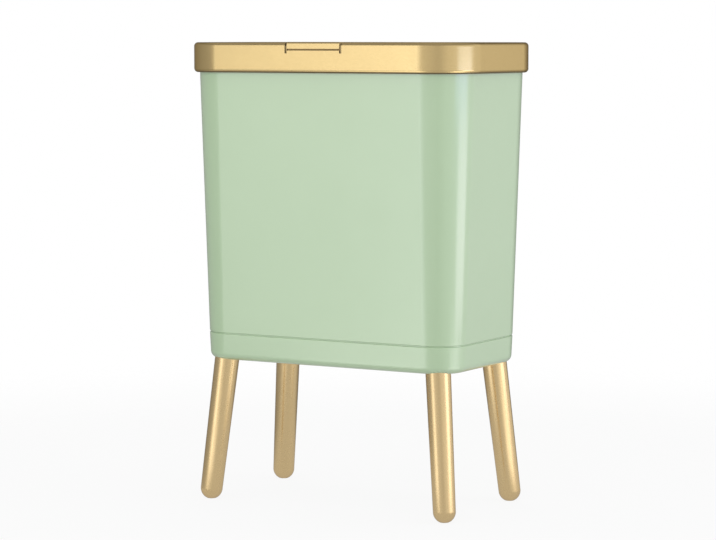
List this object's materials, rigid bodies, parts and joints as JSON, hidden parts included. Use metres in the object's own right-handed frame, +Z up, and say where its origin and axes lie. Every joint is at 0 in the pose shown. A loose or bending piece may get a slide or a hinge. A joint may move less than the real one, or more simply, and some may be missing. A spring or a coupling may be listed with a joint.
{
  "type": "trash can",
  "caption": "Slim kitchen bin on splayed round legs, with a tapered bucket, a gold ring that lifts off to hold the bag, and a rear-hinged lid released by a press tab.",
  "frame": {"origin": "on the floor below the middle of the bin's outline", "axes": "+Z up, the front with the press tab faces -Y, the width runs along X"},
  "size_m": [0.3454, 0.1986, 0.5],
  "materials": {
    "body_green": "satin moulded plastic, pale green",
    "gold": "satin gold coating on plastic",
    "inner_plastic": "matte moulded plastic",
    "steel": "zinc-plated steel",
    "spring_steel": "spring wire",
    "brass_insert": "machined brass",
    "black_plastic": "matte black plastic",
    "pad_rubber": "soft rubber",
    "leg_gold": "satin gold coating on steel tube"
  },
  "bodies": {
    "bin": {"bucket": "body_green", "base_pan": "body_green", "base_screws": "steel", "leg_front_left": "leg_gold", "leg_front_right": "leg_gold", "leg_rear_left": "leg_gold", "leg_rear_right": "leg_gold", "leg_plugs": "steel", "leg_studs": "steel", "leg_inserts": "brass_insert"},
    "rim": {"rim_frame": "gold", "seat_ring": "inner_plastic", "rim_screws": "steel", "hinge_deck": "body_green", "deck_screws": "steel", "lid_spring_left": "spring_steel", "lid_spring_right": "spring_steel", "damper_housing": "black_plastic", "damper_screws": "steel", "button_spring_left": "spring_steel", "button_spring_right": "spring_steel", "latch_cover": "inner_plastic", "latch_cover_screws": "steel", "lid_pads": "pad_rubber"},
    "lid": {"lid_panel": "body_green", "lid_underside": "inner_plastic", "lid_screws": "steel", "lid_catch": "black_plastic", "catch_screws": "steel", "hinge_pin_left": "steel", "hinge_pin_right": "steel", "damper_rotor": "black_plastic"},
    "button": {"release_button": "gold", "latch_plate": "steel"}
  },
  "joints": [
    {"name": "rim_lift", "type": "slide", "parent": "bin", "child": "rim", "axis": [0, 0, 1], "range_m": [0, 0.06]},
    {"name": "lid_hinge", "type": "hinge", "parent": "rim", "child": "lid", "pos_m": [0, 0.046, 0.492], "axis": [-1, 0, 0], "range_deg": [0, 85], "deforming": ["lid_spring_left", "lid_spring_right", "lid_catch"]},
    {"name": "button_slide", "type": "slide", "parent": "rim", "child": "button", "axis": [0, 1, 0], "range_m": [0, 0.002], "stiffness_N_per_m": 900, "springref_m": -0.002, "deforming": ["button_spring_left", "button_spring_right"]}
  ]
}
